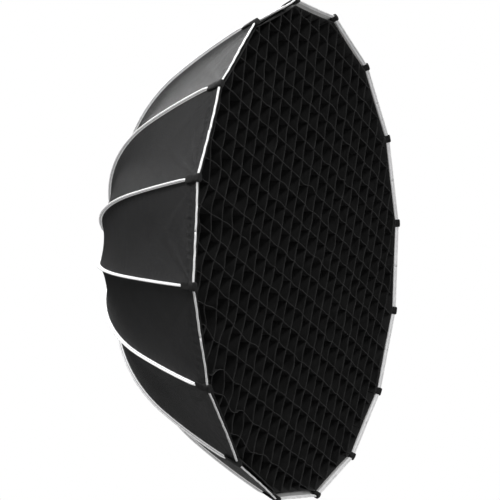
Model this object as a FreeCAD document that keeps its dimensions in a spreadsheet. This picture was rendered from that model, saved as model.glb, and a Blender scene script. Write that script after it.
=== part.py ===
import FreeCAD, Part
import math
import os

# A folding studio light modifier: sixteen ribs hinged on a speed ring hold a fabric reflector open.
# Millimetres. +Z is up, +Y is the optical axis towards the light, and the mouth faces -Y.
# The origin is the centre of the speed ring's rear face, where the light is mounted.
# "forward" below is a distance along -Y from that face. A rib's plane holds the Y axis.

DIMENSIONS = [
    ("rib_count", 16, "ribs, and sides of the mouth"),
    ("hinge_circle", 75, "radius of the circle of rib hinges"),
    ("hinge_forward", 32, "rib hinges, forward of the rear face"),
    ("rib_heading", 11.3, "angle of a rib's straight root from the radial direction, degrees"),
    ("rib_straight", 30, "length of the rib's straight root"),
    ("rib_bow_radius", 576, "radius of the rib's main bow"),
    ("rib_bow_turn", 45.7, "turn of the main bow, degrees"),
    ("rib_tip_radius", 2010, "radius of the flatter stretch up to the tip"),
    ("rib_tip_turn", 7.5, "turn of the flatter stretch, degrees"),
    ("rod_radius", 2.5, "rib rod"),
    ("rod_start", 20, "where the rod enters the knuckle, from the hinge"),
    ("eye_radius", 4.5, "rib knuckle's eye"),
    ("eye_width", 7, "rib knuckle's eye and neck"),
    ("neck_height", 7, "rib knuckle's neck"),
    ("neck_length", 16, "rib knuckle's neck, from the hinge"),
    ("socket_radius", 3.5, "rib knuckle's socket"),
    ("socket_length", 15, "rib knuckle's socket"),
    ("hinge_pin_radius", 2, "rib hinge pin"),
    ("hinge_pin_length", 15, "rib hinge pin"),
    ("hinge_clearance", 0.04, "radial clearance of the hinge pins"),
    ("clip_at", 99, "stretcher clip on the rib, from the hinge along the rib"),
    ("clip_radius", 3.45, "stretcher clip's sleeve"),
    ("clip_length", 12, "stretcher clip's sleeve"),
    ("clip_drop", 8, "stretcher pivot, inward of the rod's axis"),
    ("lug_width", 6.8, "stretcher clip's lug"),
    ("lug_radius", 3.4, "stretcher clip's lug"),
    ("tip_cap_radius", 3.5, "cap on the rib's tip"),
    ("tip_cap_overhang", 4, "cap beyond the rod's end"),
    ("tip_cap_length", 14, "cap on the rib's tip"),
    ("cloth_offset", 5, "outer face of the reflector cloth, outward of the rod's axis"),
    ("cloth_thickness", 1.2, "reflector cloth"),
    ("cloth_start", 39, "rear edge of the cloth, from the hinge along the rib"),
    ("piping_width", 8.6, "piping on each seam"),
    ("piping_height", 3, "piping on each seam"),
    ("binding_width", 9, "binding round the rim"),
    ("binding_height", 0.8, "binding round the rim"),
    ("pocket_length", 46, "corner pocket over each rib tip"),
    ("pocket_width", 21, "corner pocket over each rib tip"),
    ("pocket_height", 2, "corner pocket's outer wall"),
    ("pocket_front", 2, "corner pocket's wall in front of the rib tip"),
    ("pocket_depth", 16, "corner pocket's front wall, from its outer face inward"),
    ("pocket_gap", 0.4, "between the rib tip and the pocket's front wall"),
    ("layer_gap", 0.1, "between layers of trim"),
    ("trim_seam", 0.04, "share of a gore left open between two strips of trim"),
    ("loop_band_width", 25, "fastening tape inside the rim"),
    ("loop_band_height", 1, "fastening tape inside the rim"),
    ("loop_band_set_back", 2, "fastening tape, back from the rim"),
    ("collar_start", 17, "rear edge of the stretch band, from the hinge along the rib"),
    ("collar_overlap", 4, "stretch band's overlap on the cloth"),
    ("piping_start", 49, "rear end of the piping, from the hinge along the rib"),
    ("bore_radius", 45, "clear opening for the light"),
    ("spigot_radius", 49, "outside of the bayonet spigot"),
    ("spigot_length", 10, "bayonet spigot, rearward of the rear face"),
    ("lug_reach", 57, "radius over the bayonet lugs"),
    ("lug_thickness", 4.5, "bayonet lug"),
    ("lug_span", 38, "each bayonet lug, degrees"),
    ("insert_boss_radius", 66, "insert where it shows at the rear face"),
    ("insert_flange_radius", 72, "insert flange that turns in the speed ring"),
    ("insert_forward", 8, "front face of the insert"),
    ("retainer_thickness", 2.9, "retaining ring"),
    ("turning_clearance", 0.08, "clearance round the turning insert"),
    ("sleeve_radius", 84, "outside of the speed ring's rear sleeve"),
    ("sleeve_forward", 22, "front end of the rear sleeve"),
    ("throat_radius", 62, "speed ring's throat"),
    ("hub_radius", 90, "outside of the hinge ring"),
    ("hub_forward", 40, "front face of the hinge ring"),
    ("hinge_slot_width", 7.8, "slot for each rib knuckle"),
    ("hinge_slot_floor", 5.2, "slot floor behind and inside the hinge axis"),
    ("screw_radius", 1.5, "M3 screws"),
    ("screw_head_radius", 2.8, "M3 pan head"),
    ("screw_head_height", 2, "M3 pan head"),
    ("screw_length", 8, "M3 screw under its head"),
    ("retainer_screw_circle", 78, "circle of the retaining ring's screws"),
    ("retainer_screws", 8, "screws in the retaining ring"),
    ("bumper_height", 1.5, "rubber bumper on the hub's front face"),
    ("runner_inner", 48, "runner's clear opening"),
    ("runner_outer", 70, "outside of the runner"),
    ("runner_back", 41.8, "rear face of the runner"),
    ("runner_front", 54, "front face of the runner"),
    ("runner_circle", 60, "radius of the circle of stretcher hinges"),
    ("runner_hinge_forward", 48, "stretcher hinges, forward of the rear face"),
    ("runner_slot_width", 5.6, "slot for each stretcher eye"),
    ("runner_slot_depth", 30, "slot for each stretcher eye, forward and outward"),
    ("runner_slot_floor", 4.2, "slot floor inside the stretcher's hinge axis"),
    ("runner_cover_height", 2.5, "cover on the runner"),
    ("runner_pin_radius", 1.5, "stretcher hinge pin"),
    ("runner_pin_length", 13, "stretcher hinge pin"),
    ("cover_screws", 8, "screws in the runner's cover"),
    ("cover_screw_circle", 52, "circle of the cover's screws"),
    ("handle_circle", 61.5, "radius of the circle of pull handles"),
    ("handle_radius", 20, "bow of a pull handle"),
    ("handle_rod_radius", 3, "pull handle's rod"),
    ("stretcher_eye_radius", 3.4, "stretcher's inner eye"),
    ("stretcher_eye_width", 5, "stretcher's inner eye"),
    ("stretcher_rod_radius", 2, "stretcher's rod"),
    ("fork_length", 34, "stretcher's fork, back from its pivot"),
    ("fork_gap", 10, "between the fork's ears"),
    ("ear_thickness", 1.6, "fork ear"),
    ("ear_height", 7, "fork ear"),
    ("bridge_length", 4, "fork's bridge"),
    ("rivet_radius", 2.2, "rivet head on each ear"),
    ("rivet_height", 1.2, "rivet head on each ear"),
    ("knob_at", 101.25, "lock knob's place round the ring, degrees"),
    ("knob_forward", 12, "lock knob's axis, forward of the rear face"),
    ("knob_radius", 8, "lock knob"),
    ("knob_length", 18, "lock knob"),
    ("knob_inner", 87, "inner end of the knob"),
    ("lock_screw_radius", 3, "lock screw"),
    ("grid_radius", 560, "circle that the grid's slats end on"),
    ("grid_pitch", 50, "pitch of the grid's slats"),
    ("grid_depth", 22, "each layer of slats"),
    ("grid_tilt", -28.5, "slope of the first slats, degrees"),
    ("grid_cross_tilt", 60, "slope of the slats that cross them, degrees"),
    ("grid_set_back", 2, "front edge of the grid behind the rim"),
    ("slat_thickness", 1, "grid slat"),
    ("grid_band_width", 47, "band round the grid"),
    ("grid_band_offset", -6, "outer face of the grid's band, outward of the rod's axis"),
    ("grid_band_thickness", 1.2, "band round the grid"),
    ("slat_end_gap", 2, "each end of a slat inside the circle"),
    ("grid_layer_gap", 0.4, "between the two layers of slats"),
    ("diffuser_radius", 556, "circumradius of the front diffuser"),
    ("diffuser_set_back", 53, "front diffuser behind the rim"),
    ("sheet_thickness", 1, "diffuser cloth"),
    ("diffuser_band", 14, "fastening tape round the front diffuser"),
    ("inner_radius", 392, "circumradius of the inner diffuser"),
    ("inner_set_back", 212, "inner diffuser behind the rim"),
    ("inner_hem", 16, "hem round the inner diffuser"),
    ("strap_width", 15, "inner diffuser's elastic straps"),
    ("strap_end", 462, "radius where the straps end beside the ribs"),
]

doc = FreeCAD.newDocument("octabox")
sheet = doc.addObject("Spreadsheet::Sheet", "dims")
for row, (alias, number, meaning) in enumerate(DIMENSIONS, start=1):
    sheet.set("A%d" % row, meaning)
    sheet.set("B%d" % row, str(number))
    sheet.setAlias("B%d" % row, alias)
doc.recompute()

VECTOR = FreeCAD.Vector
X_AXIS = VECTOR(1, 0, 0)
Y_AXIS = VECTOR(0, 1, 0)
Z_AXIS = VECTOR(0, 0, 1)
OVERCUT = 5.0
nodes = []


def dim(alias):
    """A driving dimension as a number, for placements and outlines."""
    return float(sheet.get(alias))


COUNT = int(dim("rib_count"))
STEP = 360.0 / COUNT


# Small makers, whose sizes follow the spreadsheet


def bind(item, **sizes):
    """Binds each property of a primitive to an expression of the sheet's aliases."""
    for prop, expression in sizes.items():
        item.setExpression(prop, expression)
    return item


def cylinder(name, radius, height, base=VECTOR(0, 0, 0), turn=FreeCAD.Rotation()):
    item = bind(doc.addObject("Part::Cylinder", name), Radius=radius, Height=height)
    item.Placement = FreeCAD.Placement(base, turn)
    return item


def cylinder_forward(name, radius, start, height):
    """A cylinder on the optical axis that runs forward from start."""
    return cylinder(name, radius, height, VECTOR(0, -start, 0), FreeCAD.Rotation(X_AXIS, 90))


def cylinder_across(name, radius, length_alias, forward, reach, extra=0.0):
    """A cylinder across the top rib's plane, centred on it, at a radius and a forward distance."""
    base = VECTOR(-(dim(length_alias) + extra) / 2, -forward, reach)
    length = "dims.%s + %g" % (length_alias, extra)
    return cylinder(name, radius, length, base, FreeCAD.Rotation(Y_AXIS, 90))


def box(name, length, width, height, base=VECTOR(0, 0, 0), turn=FreeCAD.Rotation()):
    item = bind(doc.addObject("Part::Box", name), Length=length, Width=width, Height=height)
    item.Placement = FreeCAD.Placement(base, turn)
    return item


def cut(name, base, tool):
    item = doc.addObject("Part::Cut", name)
    item.Base = base
    item.Tool = tool
    return item


def fuse(name, items):
    item = doc.addObject("Part::MultiFuse", name)
    item.Shapes = items
    return item


def compound(name, items, placement=FreeCAD.Placement()):
    item = doc.addObject("Part::Compound", name)
    item.Links = items
    item.Placement = placement
    return item


def turned(name, item, angle):
    """The item, made at the top, carried round the optical axis by angle degrees."""
    return compound(name, [item], FreeCAD.Placement(VECTOR(0, 0, 0), FreeCAD.Rotation(Y_AXIS, angle)))


def around(name, item, count, first=0.0):
    """Copies of the item, evenly round the optical axis."""
    copies = []
    for k in range(count):
        copies.append(turned("%s_%d" % (name, k), item, first + k * 360.0 / count))
    return compound(name, copies)


def ring(name, outer, inner, start, length):
    """A flat ring on the optical axis. outer, inner and length are aliases or expressions."""
    body = cylinder_forward(name + "_body", outer, start, length)
    hole_length = "%s + %g" % (length, 2 * OVERCUT)
    hole = cylinder_forward(name + "_hole", inner, start - OVERCUT, hole_length)
    return cut(name, body, hole)


def feature(name, shape):
    item = doc.addObject("Part::Feature", name)
    item.Shape = shape
    return item


def node(name, item):
    """Marks an item as a finished sub-part."""
    item.Label = name
    nodes.append(item)
    return item


# The rib's line: a straight root, the main bow and a flatter stretch, all in the rib's plane

BOWS = [
    (dim("rib_bow_radius"), math.radians(dim("rib_bow_turn"))),
    (dim("rib_tip_radius"), math.radians(dim("rib_tip_turn"))),
]
HEADING = math.radians(dim("rib_heading"))
RIB_LENGTH = dim("rib_straight") + sum(radius * turn for radius, turn in BOWS)


def rib_point(along, outward=0.0):
    """(radius, forward, heading) at a length along the rib's axis, moved outward from it."""
    reach, forward, heading = dim("hinge_circle"), dim("hinge_forward"), HEADING
    step = min(along, dim("rib_straight"))
    reach += step * math.cos(heading)
    forward += step * math.sin(heading)
    left = along - step
    for radius, turn in BOWS:
        part = min(left / radius, turn)
        reach += radius * (math.sin(heading + part) - math.sin(heading))
        forward += radius * (math.cos(heading) - math.cos(heading + part))
        heading += part
        left -= part * radius
    reach += outward * math.sin(heading)
    forward -= outward * math.cos(heading)
    return reach, forward, heading


def in_plane(reach, forward, angle=0.0):
    """The point at a radius and forward distance in the rib plane at angle degrees from the top."""
    turn = math.radians(angle)
    return VECTOR(reach * math.sin(turn), -forward, reach * math.cos(turn))


def on_rib(along, outward, angle=0.0):
    reach, forward, _ = rib_point(along, outward)
    return in_plane(reach, forward, angle)


def rib_breaks(start, end):
    """The lengths where the rib's line changes, between start and end."""
    marks = [dim("rib_straight")]
    for radius, turn in BOWS:
        marks.append(marks[-1] + radius * turn)
    return [start] + [mark for mark in marks if start + 0.01 < mark < end - 0.01] + [end]


def rib_edges(start, end, outward, angle=0.0):
    """Lines and arcs along the rib at a distance outward from its axis."""
    edges = []
    breaks = rib_breaks(start, end)
    for a, b in zip(breaks, breaks[1:]):
        first, last = on_rib(a, outward, angle), on_rib(b, outward, angle)
        if b <= dim("rib_straight") + 0.01:
            edges.append(Part.LineSegment(first, last).toShape())
        else:
            edges.append(Part.Arc(first, on_rib((a + b) / 2, outward, angle), last).toShape())
    return edges


def rib_placement(along, outward=0.0):
    """Carries +Z at the origin onto the top rib's line, with +X across the rib."""
    reach, forward, heading = rib_point(along, outward)
    turn = FreeCAD.Rotation(X_AXIS, math.degrees(heading))
    return FreeCAD.Placement(in_plane(reach, forward), turn)


MOUTH = rib_point(RIB_LENGTH, dim("cloth_offset"))[1]

# Where the stretcher's ends are when the frame is open
PIVOT_REACH, PIVOT_FORWARD, _ = rib_point(dim("clip_at"), -dim("clip_drop"))
STRETCHER_REACH = PIVOT_REACH - dim("runner_circle")
STRETCHER_RISE = PIVOT_FORWARD - dim("runner_hinge_forward")
STRETCHER_LENGTH = math.hypot(STRETCHER_REACH, STRETCHER_RISE)
STRETCHER_HEADING = math.degrees(math.atan2(STRETCHER_RISE, STRETCHER_REACH))


def swept_rod(start, end, radius):
    """A round rod along the top rib's line."""
    path = Part.Wire(rib_edges(start, end, 0.0))
    reach, forward, heading = rib_point(start)
    direction = VECTOR(0, -math.sin(heading), math.cos(heading))
    section = Part.Wire(Part.makeCircle(radius, in_plane(reach, forward), direction))
    return path.makePipeShell([section], True, True)


def shell_between_ribs(start, end, outer, inner, angle):
    """A cloth gore, ruled between the rib at angle and the next one."""
    faces = []
    for outward in (outer, inner):
        here = rib_edges(start, end, outward, angle)
        there = rib_edges(start, end, outward, angle + STEP)
        faces += [Part.makeRuledSurface(a, b) for a, b in zip(here, there)]
    for side in (angle, angle + STEP):
        bottom, top = rib_edges(start, end, inner, side), rib_edges(start, end, outer, side)
        caps = [
            Part.LineSegment(on_rib(at, inner, side), on_rib(at, outer, side)).toShape()
            for at in (start, end)
        ]
        outline = Part.Wire(Part.__sortEdges__(bottom + top + caps))
        faces.append(Part.Face(outline))
    for at in (start, end):
        corners = [
            on_rib(at, inner, angle),
            on_rib(at, outer, angle),
            on_rib(at, outer, angle + STEP),
            on_rib(at, inner, angle + STEP),
        ]
        faces.append(Part.Face(Part.makePolygon(corners + corners[:1])))
    return closed_solid(faces)


def closed_solid(faces):
    shell = Part.Shell(faces)
    shell.sewShape()
    solid = Part.Solid(shell)
    if solid.Volume < 0:
        solid.reverse()
    return solid


def strip_between_ribs(start, end, outer, inner, margin, angle):
    """A flat-sided strip across one gore near the rim, margin being the share left bare beside each rib."""

    def corner(at, outward, share):
        return on_rib(at, outward, angle) * (1 - share) + on_rib(at, outward, angle + STEP) * share

    def quad(points):
        return Part.Face(Part.makePolygon(points + points[:1]))

    low, high = margin, 1 - margin
    faces = []
    for outward in (outer, inner):
        faces.append(
            quad(
                [
                    corner(start, outward, low),
                    corner(start, outward, high),
                    corner(end, outward, high),
                    corner(end, outward, low),
                ]
            )
        )
    for at in (start, end):
        faces.append(
            quad(
                [
                    corner(at, inner, low),
                    corner(at, inner, high),
                    corner(at, outer, high),
                    corner(at, outer, low),
                ]
            )
        )
    for share in (low, high):
        faces.append(
            quad(
                [
                    corner(start, inner, share),
                    corner(end, inner, share),
                    corner(end, outer, share),
                    corner(start, outer, share),
                ]
            )
        )
    return closed_solid(faces)


def polygon_plate(circumradius, hole, front, thickness):
    """A flat plate with a corner at each rib, its front face at front. hole is 0 or its inner circumradius."""

    def outline(radius):
        points = [in_plane(radius, front + thickness, k * STEP) for k in range(COUNT)]
        return Part.Wire(Part.makePolygon(points + points[:1]))

    plate = Part.Face(outline(circumradius)).extrude(VECTOR(0, thickness, 0))
    if hole:
        plate = plate.cut(Part.Face(outline(hole)).extrude(VECTOR(0, thickness, 0)))
    return plate


# The light mount: a bayonet insert that turns inside the speed ring


def make_light_mount():
    flange_start = dim("retainer_thickness") + 0.1
    boss = cylinder_forward("insert_boss", "dims.insert_boss_radius", 0, "dims.insert_forward")
    flange = cylinder_forward(
        "insert_flange", "dims.insert_flange_radius", flange_start,
        "dims.insert_forward - %g" % flange_start,
    )
    spigot = cylinder_forward(
        "insert_spigot", "dims.spigot_radius", -dim("spigot_length"), "dims.spigot_length + 1"
    )
    lug = cylinder_forward(
        "insert_lug", "dims.lug_reach", -dim("spigot_length"), "dims.lug_thickness"
    )
    bind(lug, Angle="dims.lug_span")
    lugs = around("insert_lugs", lug, 3)
    solid = fuse("insert_solid", [boss, flange, spigot, lugs])
    bore = cylinder_forward(
        "insert_bore", "dims.bore_radius", -dim("spigot_length") - OVERCUT,
        "dims.spigot_length + dims.insert_forward + %g" % (2 * OVERCUT),
    )
    node("bayonet_insert", cut("insert", solid, bore))
    node(
        "bearing_ring",
        ring(
            "bearing", "dims.insert_flange_radius - 1", "dims.throat_radius + 2",
            dim("insert_forward"), "1",
        ),
    )


# The speed ring: sleeve, hinge ring, retaining ring, screws and bumper


def screws(name, circle, count, face, direction, first=0.0):
    """Pan-head screws on a circle. direction is 1 when the shank runs forward from the face, else -1."""
    turn = FreeCAD.Rotation(X_AXIS, 90 * direction)
    shank = cylinder(name + "_shank", "dims.screw_radius", "dims.screw_length", VECTOR(0, -face, circle), turn)
    head_turn = FreeCAD.Rotation(X_AXIS, -90 * direction)
    head = cylinder(
        name + "_head", "dims.screw_head_radius", "dims.screw_head_height",
        VECTOR(0, -face, circle), head_turn,
    )
    return around(name, fuse(name + "_one", [shank, head]), count, first)


def make_speed_ring():
    start = dim("retainer_thickness")
    sleeve = cylinder_forward(
        "sleeve", "dims.sleeve_radius", start, "dims.sleeve_forward - dims.retainer_thickness"
    )
    hinge_ring = cylinder_forward(
        "hinge_ring", "dims.hub_radius", dim("sleeve_forward"), "dims.hub_forward - dims.sleeve_forward"
    )
    solid = fuse("hub_solid", [sleeve, hinge_ring])
    seat = cylinder_forward(
        "insert_seat", "dims.insert_flange_radius + dims.turning_clearance", 0,
        "dims.insert_forward + 1 + dims.turning_clearance",
    )
    throat = cylinder_forward("throat", "dims.throat_radius", 0, "dims.hub_forward + %g" % OVERCUT)
    floor = dim("hinge_slot_floor")
    slot = box(
        "hinge_slot", "dims.hinge_slot_width", "dims.hinge_slot_floor + %g" % 30,
        "dims.hinge_slot_floor + %g" % 30,
        VECTOR(-dim("hinge_slot_width") / 2, -dim("hinge_forward") - 30, dim("hinge_circle") - floor),
    )
    slots = around("hinge_slots", slot, COUNT)
    pin = cylinder_across(
        "hinge_pin", "dims.hinge_pin_radius", "hinge_pin_length", dim("hinge_forward"), dim("hinge_circle")
    )
    pins = around("hinge_pins", pin, COUNT)
    fixings = screws(
        "retaining_screws", dim("retainer_screw_circle"), int(dim("retainer_screws")), 0, 1, STEP / 2
    )
    knob_hole = turned(
        "knob_hole",
        cylinder(
            "knob_hole_tool", "dims.lock_screw_radius + 0.05", "40",
            VECTOR(0, -dim("knob_forward"), dim("insert_flange_radius") - 12),
        ),
        dim("knob_at"),
    )
    tools = fuse("hub_tools", [seat, throat, slots, pins, fixings, knob_hole])
    node("speed_ring", cut("hub", solid, tools))
    node("hinge_pins", pins)
    plate = ring(
        "retainer_plate", "dims.sleeve_radius",
        "dims.insert_boss_radius + dims.turning_clearance", 0, "dims.retainer_thickness",
    )
    node("retaining_ring", cut("retainer", plate, fixings))
    node("retaining_screws", fixings)
    node(
        "hub_bumper",
        ring("bumper", "dims.throat_radius + 6", "dims.throat_radius + 1", dim("hub_forward"), "dims.bumper_height"),
    )


def make_lock_knob():
    """A knob whose screw clamps the turning insert. Modelled slack, just clear of the insert."""
    flats = 6
    grip = doc.addObject("Part::Prism", "knob_grip")
    grip.Polygon = flats
    bind(grip, Circumradius="dims.knob_radius", Height="dims.knob_length")
    grip.Placement.Base = VECTOR(0, -dim("knob_forward"), dim("knob_inner"))
    screw_start = dim("insert_flange_radius") + 0.4
    shank = cylinder(
        "knob_screw", "dims.lock_screw_radius", "dims.knob_inner + 8 - %g" % screw_start,
        VECTOR(0, -dim("knob_forward"), screw_start),
    )
    node("lock_knob", turned("knob", cut("knob_body", grip, shank), dim("knob_at")))
    node("lock_screw", turned("knob_shank", shank, dim("knob_at")))


# The ribs


def make_rib():
    """The top rib: knuckle, rod, stretcher clip and tip cap, each a solid of its own."""
    rod = feature("rib_rod", swept_rod(dim("rod_start"), RIB_LENGTH - dim("tip_cap_overhang"), dim("rod_radius")))
    eye = cylinder_across(
        "rib_eye", "dims.eye_radius", "eye_width", dim("hinge_forward"), dim("hinge_circle")
    )
    neck = box(
        "rib_neck", "dims.eye_width", "dims.neck_height", "dims.neck_length",
        VECTOR(-dim("eye_width") / 2, -dim("neck_height") / 2, 0),
    )
    socket = cylinder(
        "rib_socket", "dims.socket_radius", "dims.socket_length", VECTOR(0, 0, dim("neck_length"))
    )
    root = compound("rib_root", [fuse("rib_neck_socket", [neck, socket])], rib_placement(0))
    bore = cylinder_across(
        "rib_eye_bore", "dims.hinge_pin_radius + dims.hinge_clearance", "eye_width",
        dim("hinge_forward"), dim("hinge_circle"), 2,
    )
    knuckle_solid = fuse("rib_knuckle_solid", [eye, root])
    knuckle = cut("rib_knuckle", knuckle_solid, fuse("rib_knuckle_holes", [bore, rod]))

    sleeve = cylinder(
        "clip_sleeve", "dims.clip_radius", "dims.clip_length", VECTOR(0, 0, -dim("clip_length") / 2)
    )
    web = box(
        "clip_web", "dims.lug_width", "dims.clip_drop", "2 * dims.lug_radius",
        VECTOR(-dim("lug_width") / 2, -dim("clip_drop"), -dim("lug_radius")),
    )
    lug = cylinder(
        "clip_lug", "dims.lug_radius", "dims.lug_width",
        VECTOR(-dim("lug_width") / 2, -dim("clip_drop"), 0), FreeCAD.Rotation(Y_AXIS, 90),
    )
    clip_solid = compound("clip_solid", [fuse("clip_fused", [sleeve, web, lug])], rib_placement(dim("clip_at")))
    clip = cut("rib_clip", clip_solid, rod)

    cap_solid = cylinder("cap_solid", "dims.tip_cap_radius", "dims.tip_cap_length")
    cap_solid.Placement = rib_placement(RIB_LENGTH - dim("tip_cap_length"))
    cap = cut("rib_cap", cap_solid, rod)
    return compound("rib", [knuckle, rod, clip, cap])


# The runner and its stretchers


def make_runner():
    solid = ring(
        "runner_solid", "dims.runner_outer", "dims.runner_inner", dim("runner_back"),
        "dims.runner_front - dims.runner_back",
    )
    slot = box(
        "runner_slot", "dims.runner_slot_width", "dims.runner_slot_depth", "dims.runner_slot_depth",
        VECTOR(
            -dim("runner_slot_width") / 2, -dim("runner_front"),
            dim("runner_circle") - dim("runner_slot_floor"),
        ),
    )
    pin = cylinder_across(
        "runner_pin", "dims.runner_pin_radius", "runner_pin_length",
        dim("runner_hinge_forward"), dim("runner_circle"),
    )
    pins = around("runner_pins", pin, COUNT)
    cover_front = dim("runner_front") + dim("runner_cover_height")
    fixings = screws(
        "cover_screws", dim("cover_screw_circle"), int(dim("cover_screws")), cover_front, -1, STEP / 2
    )
    tools = fuse("runner_tools", [around("runner_slots", slot, COUNT), pins, fixings])
    node("runner_ring", cut("runner", solid, tools))
    node("runner_pins", pins)
    plate = ring(
        "cover_plate", "dims.runner_outer", "dims.runner_inner", dim("runner_front"),
        "dims.runner_cover_height",
    )
    node("runner_cover", cut("cover", plate, fixings))
    node("cover_screws", fixings)
    bow = doc.addObject("Part::Torus", "handle_bow")
    bind(bow, Radius1="dims.handle_radius", Radius2="dims.handle_rod_radius")
    bow.Angle3 = 180
    bow.Placement = FreeCAD.Placement(
        VECTOR(0, -cover_front, dim("handle_circle")), FreeCAD.Rotation(Z_AXIS, 180)
    )
    node("pull_handles", around("handles", bow, 2, STEP * 4))


def make_stretcher():
    """The top stretcher, along +Z from its eye, then laid into place."""
    eye = cylinder(
        "stretcher_eye", "dims.stretcher_eye_radius", "dims.stretcher_eye_width",
        VECTOR(-dim("stretcher_eye_width") / 2, 0, 0), FreeCAD.Rotation(Y_AXIS, 90),
    )
    bridge_start = STRETCHER_LENGTH - dim("fork_length") - dim("bridge_length")
    rod = cylinder("stretcher_rod", "dims.stretcher_rod_radius", "%g" % bridge_start)
    bore = cylinder(
        "stretcher_bore", "dims.runner_pin_radius + dims.hinge_clearance",
        "dims.stretcher_eye_width + 2", VECTOR(-dim("stretcher_eye_width") / 2 - 1, 0, 0),
        FreeCAD.Rotation(Y_AXIS, 90),
    )
    arm = cut("stretcher_arm", fuse("stretcher_arm_solid", [eye, rod]), bore)
    outer_width = dim("fork_gap") + 2 * dim("ear_thickness")
    bridge = box(
        "fork_bridge", "dims.fork_gap + 2 * dims.ear_thickness", "dims.ear_height", "dims.bridge_length",
        VECTOR(-outer_width / 2, -dim("ear_height") / 2, bridge_start),
    )
    pieces = [bridge]
    for side, inner_x in (("left", -outer_width / 2), ("right", dim("fork_gap") / 2)):
        pieces.append(
            box(
                "fork_ear_" + side, "dims.ear_thickness", "dims.ear_height",
                "dims.fork_length + %g" % (dim("ear_height") / 2),
                VECTOR(inner_x, -dim("ear_height") / 2, bridge_start + dim("bridge_length")),
            )
        )
        head_x = -outer_width / 2 - dim("rivet_height") if side == "left" else outer_width / 2
        pieces.append(
            cylinder(
                "fork_rivet_" + side, "dims.rivet_radius", "dims.rivet_height",
                VECTOR(head_x, 0, STRETCHER_LENGTH), FreeCAD.Rotation(Y_AXIS, 90),
            )
        )
    fork = fuse("stretcher_fork", pieces)
    place = FreeCAD.Placement(
        in_plane(dim("runner_circle"), dim("runner_hinge_forward")),
        FreeCAD.Rotation(X_AXIS, STRETCHER_HEADING),
    )
    return compound("stretcher", [arm, fork], place)


# The reflector cloth and its trim


def make_reflector():
    outer = dim("cloth_offset")
    inner = outer - dim("cloth_thickness")
    gores = [
        shell_between_ribs(dim("cloth_start"), RIB_LENGTH, outer, inner, k * STEP) for k in range(COUNT)
    ]
    node("reflector", feature("reflector_gores", Part.makeCompound(gores)))

    binding_face = outer + dim("layer_gap")
    binding = [
        strip_between_ribs(
            RIB_LENGTH - dim("binding_width"), RIB_LENGTH,
            binding_face + dim("binding_height"), binding_face, dim("trim_seam"), k * STEP,
        )
        for k in range(COUNT)
    ]
    node("rim_binding", feature("binding", Part.makeCompound(binding)))

    band_end = RIB_LENGTH - dim("loop_band_set_back")
    band_face = inner - 2 * dim("layer_gap")
    bands = [
        strip_between_ribs(
            band_end - dim("loop_band_width"), band_end,
            band_face, band_face - dim("loop_band_height"), dim("trim_seam"), k * STEP,
        )
        for k in range(COUNT)
    ]
    node("fastening_tape", feature("loop_bands", Part.makeCompound(bands)))

    start, end = dim("piping_start"), RIB_LENGTH - dim("pocket_length")
    path = Part.Wire(rib_edges(start, end, outer + dim("piping_height") / 2))
    half = dim("piping_width") / 2
    corners = [
        on_rib(start, outward) + VECTOR(x, 0, 0)
        for x, outward in (
            (-half, outer), (half, outer),
            (half, outer + dim("piping_height")), (-half, outer + dim("piping_height")),
        )
    ]
    section = Part.Wire(Part.makePolygon(corners + corners[:1]))
    strip = feature("piping_strip", path.makePipeShell([section], True, True))
    node("seam_piping", around("piping", strip, COUNT))

    lift = binding_face + dim("binding_height") + dim("layer_gap")
    side = -dim("pocket_width") / 2
    wall = box(
        "pocket_wall", "dims.pocket_width", "dims.pocket_height", "dims.pocket_length", VECTOR(side, 0, 0)
    )
    laid = compound("pocket_laid", [wall], rib_placement(RIB_LENGTH - dim("pocket_length"), lift))
    front = box(
        "pocket_end", "dims.pocket_width", "dims.pocket_depth", "dims.pocket_front",
        VECTOR(side, dim("pocket_height") - dim("pocket_depth"), dim("pocket_gap")),
    )
    end_wall = compound("pocket_end_wall", [front], rib_placement(RIB_LENGTH, lift))
    node("corner_pockets", around("pockets", compound("pocket", [laid, end_wall]), COUNT))


def make_rear_collar():
    """The stretch band that closes the cloth on the hinge ring, a cone outside the rib sockets."""
    inner_line, outer_line = dim("cloth_offset"), dim("cloth_offset") + dim("cloth_thickness")
    start, end = dim("collar_start"), dim("cloth_start") + dim("collar_overlap")
    corners = [
        on_rib(start, inner_line), on_rib(end, inner_line),
        on_rib(end, outer_line), on_rib(start, outer_line),
    ]
    face = Part.Face(Part.makePolygon(corners + corners[:1]))
    node("rear_collar", feature("collar", face.revolve(VECTOR(0, 0, 0), Y_AXIS, 360)))


# The diffusers and the egg-crate grid


def slats(name, front, tilt):
    """Parallel slats across the mouth, each as long as the chord it lies on."""
    pitch, reach, depth = dim("grid_pitch"), dim("grid_radius"), dim("grid_depth")
    count = int(reach / pitch)
    items = []
    for k in range(-count, count + 1):
        half = math.sqrt(reach**2 - (k * pitch) ** 2) - dim("slat_end_gap")
        item = box(
            "%s_%d" % (name, k + count), "%g" % (2 * half), "dims.grid_depth", "dims.slat_thickness",
            VECTOR(-half, -front - depth, k * pitch - dim("slat_thickness") / 2),
        )
        items.append(item)
    return compound(name, items, FreeCAD.Placement(VECTOR(0, 0, 0), FreeCAD.Rotation(Y_AXIS, -tilt)))


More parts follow.
